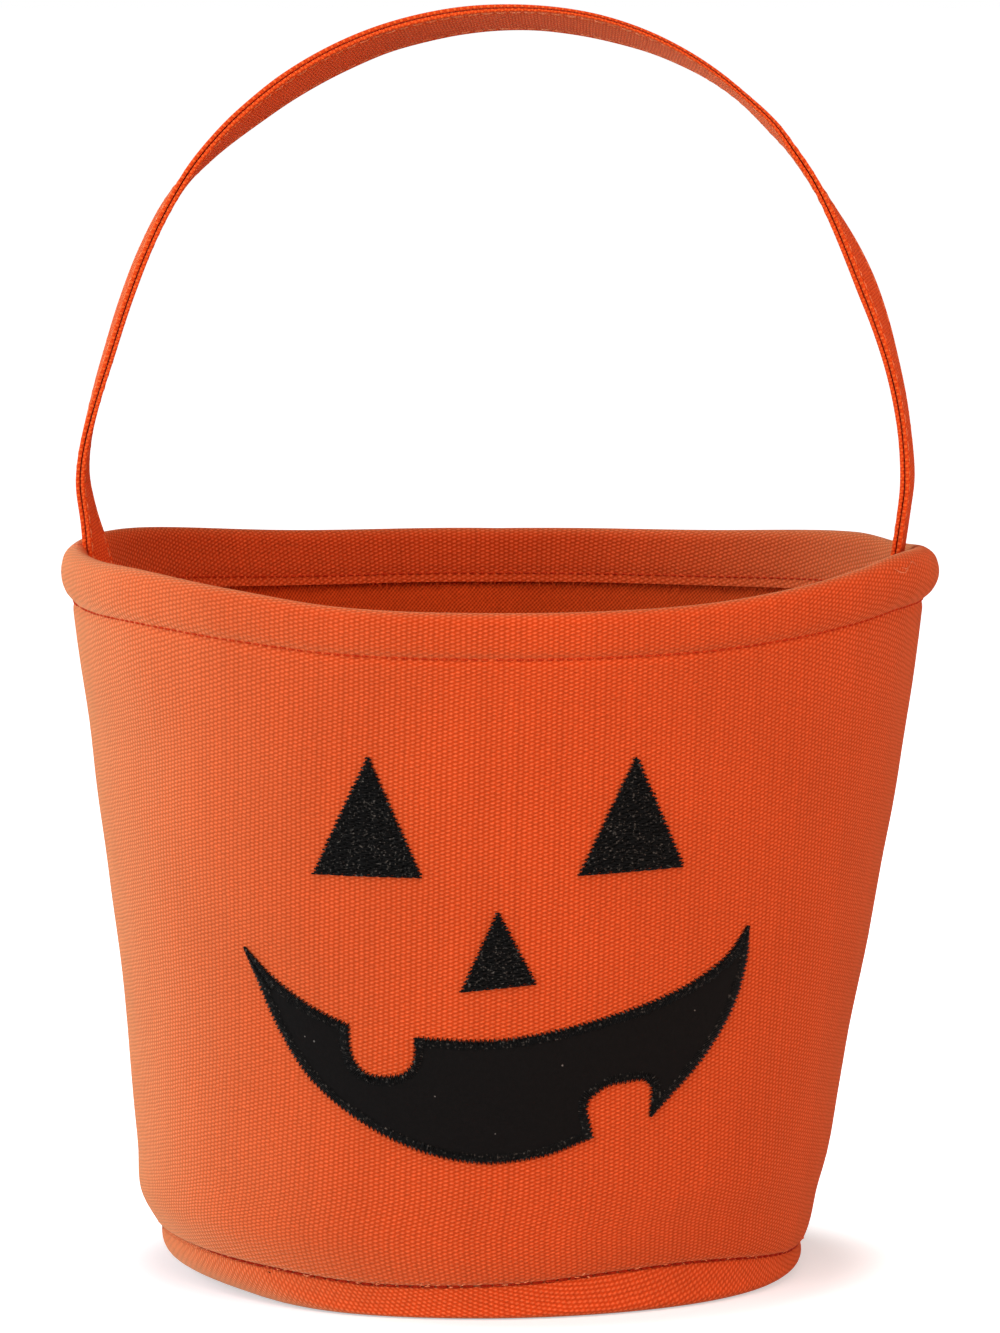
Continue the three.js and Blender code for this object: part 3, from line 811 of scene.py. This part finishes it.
def end_stitches():
    """A box with a cross, sewn through each end of the strap, seen on its inner face."""
    strands = []
    proud = PLY_REST + STRAP_PLY - 0.05
    half = STRAP_WIDTH / 2 - EDGE_STITCH
    last = len(strap_line) - 1
    for foot, top in ((BOX_FOOT, BOX_TOP), (last - BOX_FOOT, last - BOX_TOP)):
        corners = [(foot, -half), (foot, half), (top, half), (top, -half)]
        for start, end in ((0, 1), (2, 3), (0, 2), (1, 3)):
            (i, y), (j, w) = corners[start], corners[end]
            total = math.hypot((j - i) * STRAP_STEP, w - y)

            def point_at(distance):
                share = distance / total
                at = i + (j - i) * share
                place, across, outwards = strap_frame(round(at))
                step_off = (at - round(at)) * STRAP_STEP
                up = Vector((0, 0, step_off if foot < last / 2 else -step_off))
                return place + up + across * (y + (w - y) * share) - outwards * proud, -outwards
            strands += running_stitches(total, point_at, *BOX_STITCH)
    return strands


stitching = threads("strap_stitching", pale_thread, strap_stitches() + end_stitches(), 0.2)
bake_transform(stitching)


# Stitches of the body

# How deep the seam of the base lies in the cloth at each turn: it hides where the cloth puffs.
SEAM_DEPTH = [(-180, 1.2), (-125, 1.8), (-85, 2), (-62, 1.8), (-48, 0.8), (0, 0.7), (180, 1.2)]


def stitch_line(radius, height, depth_at, facing=1):
    """Total length and point function of a line of stitches round the bucket. depth_at(degrees)
    is how deep it lies in the cloth, and facing is -1 on the inside."""
    def point_at(distance):
        turn = distance / radius
        outwards = Vector((math.sin(turn), -math.cos(turn), 0))
        return wall_point(turn, height, depth_at(turn_degrees(turn))), outwards * facing
    return 2 * math.pi * radius, point_at


hem_radius = straight_radius(STITCH_HEIGHT)
hem_strands = []
for depth, facing in ((0, 1), (HEM_STACK, -1)):
    hem_line = stitch_line(hem_radius, STITCH_HEIGHT, lambda degrees: depth, facing)
    hem_strands += running_stitches(*hem_line, *HEM_STITCH)
seam_line = stitch_line(SEAM_RADIUS, SEAM_HEIGHT + 0.1, lambda degrees: along(SEAM_DEPTH, degrees))
seam_strands = running_stitches(*seam_line, *SEAM_STITCH)


def thread_flecks(count):
    """Short ends of thread that stand out of the base seam here and there."""
    strands = []
    for _ in range(count):
        turn = dice.uniform(0, 2 * math.pi)
        spread = dice.uniform(0.3, 0.8) / SEAM_RADIUS
        rise = dice.uniform(-0.4, 0.9)
        height = SEAM_HEIGHT + dice.uniform(0, 0.6)
        strands.append([wall_point(turn, height, 0.1),
                        wall_point(turn + spread, height + rise / 2, -0.25),
                        wall_point(turn + 2 * spread, height + rise, -0.05)])
    return strands


def ravelled_edge(pitch):
    """Loose ends of yarn along the cut edge of the facing, inside the bucket."""
    strands = []
    low_edge = RIM_HEIGHT - FACING_DEPTH
    for turn in steps(0, 2 * math.pi, pitch / STITCH_RADIUS):
        turn += dice.uniform(-0.3, 0.3) * pitch / STITCH_RADIUS
        hang = dice.uniform(0.5, 2.2)
        aside = dice.uniform(-0.8, 0.8) / STITCH_RADIUS
        depth = HEM_STACK - dice.uniform(0.1, 0.7)
        strands.append([wall_point(turn, low_edge + 0.8, depth),
                        wall_point(turn + aside / 2, low_edge - hang / 2, depth + 0.1),
                        wall_point(turn + aside, low_edge - hang, depth - 0.2)])
    return strands


# Ends of thread left near the right end of the rim, as (turn in degrees, height).
LOOSE_ENDS = [[(63.5, 192.6), (65, 191.2), (66.5, 190.6), (68, 191.8)],
              [(68, 191.8), (69.2, 192.8), (70.6, 191.2)], [(65.6, 192.2), (67, 191.4), (68, 191.8)]]
loose_strands = [[wall_point(math.radians(t), h, -0.25) for t, h in end] for end in LOOSE_ENDS]


def sew(name, material, strands, radius):
    """Threads that are fixed to the bucket."""
    sewn = threads(name, material, strands, radius)
    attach(sewn, "bucket")


for name, material, strands, radius in (
        ("hem_topstitch", hem_thread, hem_strands, 0.3),
        ("base_seam_stitching", seam_thread, seam_strands, 0.45),
        ("base_seam_flecks", pale_thread, thread_flecks(90), 0.16),
        ("rim_thread_ends", pale_thread, loose_strands, 0.17),
        ("facing_ravelled_edge", ravelled_yarn, ravelled_edge(1.3), 0.17)):
    sew(name, material, strands, radius)


# Face

LEFT_EYE = [(-33.3, 154.9), (-47.1, 122.1), (-18.3, 122.2)]
RIGHT_EYE = [(37.8, 154.8), (23.3, 122.8), (51, 123.9)]
NOSE = [(2.1, 113), (-7.3, 91), (12.6, 93.3)]
GRIN = [
    [(-66, 101), (-57.6, 92.5), (-47.4, 85.4), (-37.1, 80.9)],
    [(-37.1, 80.9), (-36.6, 74.6), (-35, 70.7), (-32.3, 68.1), (-29.3, 67.3), (-25, 67.5),
     (-22, 68.5), (-20, 70.6), (-19.3, 73.4), (-19.3, 78.2)],
    [(-19.3, 78.2), (2.4, 77.9), (26, 82), (49.7, 89.3), (62.5, 97.3), (69, 106.3)],
    [(69, 106.3), (68.7, 96), (65, 82.5), (56.8, 69.1), (43.7, 54.8)],
    [(43.7, 54.8), (43.9, 58.3), (44.2, 61), (44, 63.6), (43, 65), (41.1, 65.6), (37, 65.2),
     (32.8, 64.5), (29.6, 62.7), (27.5, 60.7), (27, 57.8), (27.8, 54.2), (28.5, 50.3)],
    [(28.5, 50.3), (15.1, 45.7), (-0.8, 44), (-16.7, 47), (-32.8, 54.5), (-47, 65.4),
     (-56.3, 78.9), (-62.1, 91.7), (-66, 101)],
]
BORDER = 2.6
BORDER_PITCH = 0.42
FILL_PITCH = 0.45
FILL_LENGTH = 3.2
# The stitches end in teeth: how far each of three in a row reaches over the outline.
FILL_TEETH = (0.55, 0.15, -0.3)
BORDER_TEETH = (0.45, 0.1, -0.25)
PATCH_INSET = 0.5


def outline_of(runs, spacing):
    """Even points round a closed outline, given as smooth runs that meet at corners. Each
    comes with the direction of its run there."""
    outline = []
    for run in runs:
        places = travel_along(run)
        across = [(p, x) for p, (x, _) in zip(places, run)]
        up = [(p, z) for p, (_, z) in zip(places, run)]
        at = [Vector((along(across, p), along(up, p))) for p in steps(0, places[-1], spacing)]
        outline += [(a, (b - a).normalized()) for a, b in zip(at, at[1:])]
    return outline


def patch(name, material, runs, proud, cell=3):
    """A flat cut shape laid on the front of the wall, with its edge turned down to it."""
    edge = [p + inwards * min(PATCH_INSET, room / 3)
            for p, inwards, room in outline_room(runs, 1.5)]
    across, up = zip(*edge)
    inside = [Vector((x, z)) for x in steps(min(across), max(across), cell)
              for z in steps(min(up), max(up), cell)]
    inside = [p for p in inside if min((p - q).length for q in edge) > cell * 0.6]
    count = len(edge)
    border = [(i, (i + 1) % count) for i in range(count)]
    made = geometry.delaunay_2d_cdt(edge + inside, border, [], 1, 1e-4)
    flat_points, faces = made[0], made[2]
    points = [on_face(p.x, p.y, proud * 0.6 if i < count else proud)
              for i, p in enumerate(flat_points)]
    feet = [on_face(p.x, p.y, 0.02) for p in flat_points[:count]]
    skin = [tuple(f if turns_left(flat_points, f) else reversed(f)) for f in faces]
    total = len(points)
    skirt = [(i, (i + 1) % count, total + (i + 1) % count, total + i) for i in range(count)]
    all_flat = list(flat_points) + list(flat_points[:count])
    cut = [[tuple(all_flat[i]) for i in f] for f in skin + skirt]
    piece = new_object(name, points + feet, skin + skirt, material, cut)
    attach(piece, "bucket")
    return piece


def turns_left(points, face):
    a, b, c = (points[i] for i in face[:3])
    return (b - a).cross(c - a) > 0


def room_inside(edge, place, inwards):
    """Distance from a point of the outline, straight inwards, to the other side."""
    nearest = 1000
    for a, b in zip(edge, edge[1:] + edge[:1]):
        side = b - a
        turn = inwards.cross(side)
        if abs(turn) < 1e-6:
            continue
        along_side = inwards.cross(place - a) / turn
        distance = side.cross(place - a) / turn
        if 0 <= along_side <= 1 and 0.03 < distance < nearest:
            nearest = distance
    return nearest


def outline_room(runs, spacing):
    """Points round an outline, clear of its corners, each with its inward direction and the
    room that way."""
    edge = [p for p, _ in outline_of(runs, 0.8)]
    turned = sum(a.cross(b) for a, b in zip(edge, edge[1:] + edge[:1]))
    found = []
    for start, ahead in outline_of(runs, spacing):
        place = start + ahead * spacing / 2
        inwards = Vector((-ahead.y, ahead.x)) * (1 if turned > 0 else -1)
        found.append((place, inwards, room_inside(edge, place + inwards * 0.05, inwards)))
    return found


def satin_border(runs, reach, proud):
    """Close stitches over the edge of a shape, from just outside it to inside it."""
    strands = []
    for n, (place, inwards, room) in enumerate(outline_room(runs, BORDER_PITCH)):
        if room < 0.3:
            continue
        short = min(1, room / (2 * reach))
        start = place - inwards * (BORDER_TEETH[n % 3] + dice.uniform(-0.08, 0.08)) * short
        end = place + inwards * (reach + dice.uniform(-0.3, 0.3)) * short
        lift = proud * dice.uniform(0.85, 1.1)
        strand = []
        for share, high in ((0, 0.1), (0.15, 0.8), (0.5, 1), (0.85, 0.85), (1, 0.5)):
            p = start.lerp(end, share)
            strand.append(on_face(p.x, p.y, lift * high))
        strands.append(strand)
    return strands


def fill_stitches(corners, proud):
    """Level stitches side by side that fill a triangle, and end in small teeth at its edges."""
    apex, left, right = (Vector(c) for c in corners)
    strands = []
    rows = steps(0.004, 0.985, FILL_PITCH / (apex.y - left.y))
    for n, up in enumerate(rows):
        a, b = left.lerp(apex, up), right.lerp(apex, up)
        a -= Vector((FILL_TEETH[n % 3] + dice.uniform(-0.1, 0.1), 0))
        b += Vector((FILL_TEETH[(n + 1) % 3] + dice.uniform(-0.1, 0.1), 0))
        stops = [apex.x + FILL_LENGTH * (k + 0.25 * (n % 3)) + dice.uniform(-0.4, 0.4)
                 for k in range(-15, 15)]
        stops = [a.x] + [x for x in stops if a.x + 0.5 < x < b.x - 0.5] + [b.x]
        for start, end in zip(stops, stops[1:]):
            lift = proud * dice.uniform(0.7, 1.15)
            tilt = dice.uniform(-0.12, 0.12)
            strand = []
            for share, high in ((0, 0.45), (0.2, 0.9), (0.5, 1), (0.8, 0.9), (1, 0.45)):
                x = start + (end - start) * share
                z = a.y + (b.y - a.y) * (x - a.x) / (b.x - a.x) + tilt * (share - 0.5)
                strand.append(on_face(x, z, lift * high))
            strands.append(strand)
    return strands


for name, corners in (("left_eye", LEFT_EYE), ("right_eye", RIGHT_EYE), ("nose", NOSE)):
    sides = [[a, b] for a, b in zip(corners, corners[1:] + corners[:1])]
    backing = patch(f"{name}_backing", black_backing, sides, 0.4)
    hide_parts(name)
    sew(f"{name}_embroidery", black_thread, fill_stitches(corners, 0.75), 0.27)

mouth = patch("mouth_felt", black_felt, GRIN, 0.75)
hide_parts("mouth")
sew("mouth_border", black_thread, satin_border(GRIN, BORDER, 0.85), 0.23)


# Camera, floor and light

CAMERA_BACK = 2600
CAMERA_HEIGHT = 449.8
CAMERA_DOWN = 6.203
CAMERA_ASIDE = 0.8
PHOTO_HEIGHT = 1333
FOCAL_PIXELS = 9455

camera_data = bpy.data.cameras.new("camera")
camera_data.sensor_width = 36
camera_data.lens = FOCAL_PIXELS * camera_data.sensor_width / PHOTO_HEIGHT
camera_data.clip_start = 0.1
camera_data.clip_end = 60
camera = bpy.data.objects.new("camera", camera_data)
camera.location = Vector((CAMERA_ASIDE, -CAMERA_BACK, CAMERA_HEIGHT)) * MM
camera.rotation_euler = (math.radians(90 - CAMERA_DOWN), 0, 0)
bpy.context.scene.collection.objects.link(camera)
bpy.context.scene.camera = camera


def seen_straight(tree):
    """1 where something is seen by the camera, in a mirror or through glass, otherwise 0."""
    path = add(tree, "LightPath").outputs
    mirrored = add(tree, "Math", {0: path["Is Camera Ray"], 1: path["Is Glossy Ray"]},
                   operation="MAXIMUM")
    return add(tree, "Math", {0: mirrored, 1: path["Is Transmission Ray"]}, operation="MAXIMUM")


# How much the floor glows by itself under the bucket, and how far out, in metres from the
# middle, that starts to rise and is full
FLOOR_GLOW = 0.5
GLOW_NEAR = 0.092
GLOW_FAR = 0.125
FLOOR_REACH = 9000
FLOOR_BELOW = 0.2


def white_floor():
    """A floor that shows white further out, and keeps the soft shadow of what stands on it."""
    material, tree = new_material("white floor")
    matt = add(tree, "BsdfDiffuse", {"Color": srgb("#d2dae2")})
    place = add(tree, "TexCoord").outputs["Object"]
    away = add(tree, "VectorMath", {0: place}, operation="LENGTH").outputs["Value"]
    level = add(tree, "MapRange", {"Value": away, "From Min": GLOW_NEAR, "From Max": GLOW_FAR,
                                   "To Min": FLOOR_GLOW, "To Max": 1},
                interpolation_type="SMOOTHSTEP")
    strength = add(tree, "Math", {0: seen_straight(tree), 1: level}, operation="MULTIPLY")
    glow = add(tree, "Emission", {"Color": (1, 1, 1, 1), "Strength": strength})
    finish_material(material, add(tree, "AddShader", {0: matt, 1: glow}))
    points = [(x * FLOOR_REACH, y * FLOOR_REACH, -FLOOR_BELOW)
              for x, y in ((-1, -1), (1, -1), (1, 1), (-1, 1))]
    floor = new_object("floor", points, [(0, 1, 2, 3)], material)


def softbox(name, place, size, watts, colour):
    data = bpy.data.lights.new(name, "AREA")
    data.shape = "RECTANGLE"
    data.size, data.size_y = size
    data.energy = watts
    data.color = srgb(colour)[:3]
    lamp = bpy.data.objects.new(name, data)
    lamp.location = place
    aim = Vector((0, 0, 0.13)) - Vector(place)
    lamp.rotation_euler = aim.to_track_quat("-Z", "Y").to_euler()
    bpy.context.scene.collection.objects.link(lamp)


white_floor()
softbox("window_left", (-2.0, 1.1, 0.8), (1.3, 1.3), 35, "#f2fdff")
softbox("front_left", (-1.35, -1.65, 0.7), (1.3, 1.3), 18, "#f2fdff")
softbox("low_left", (-1.9, -0.8, 0.1), (1.3, 0.3), 13.5, "#f2fdff")
softbox("low_front", (0, -2.1, 0.14), (1.3, 0.24), 6, "#fff6ef")
softbox("right", (1.9, -1, 0.7), (1.3, 1.3), 27, "#ffc8a4")
softbox("above", (-0.1, -1.3, 1.9), (1.4, 1.4), 27, "#ffece0")

ROOM_LIGHT_LEFT = 0.07
ROOM_LIGHT_RIGHT = 0.05
world = bpy.data.worlds.new("white room")
bpy.context.scene.world = world
world.use_nodes = True
room = world.node_tree
room.nodes.clear()
towards = add(room, "SeparateXYZ", {0: add(room, "TexCoord").outputs["Generated"]})
room_light = add(room, "MapRange", {"Value": towards, "From Min": -1, "From Max": 1,
                                    "To Min": ROOM_LIGHT_LEFT, "To Max": ROOM_LIGHT_RIGHT})
strength = add(room, "Math", {0: room_light, 1: seen_straight(room)}, operation="MAXIMUM")
backdrop = add(room, "Background", {"Color": (1, 1, 1, 1), "Strength": strength})
add(room, "OutputWorld", {"Surface": backdrop})

bpy.context.scene.view_settings.view_transform = "Standard"
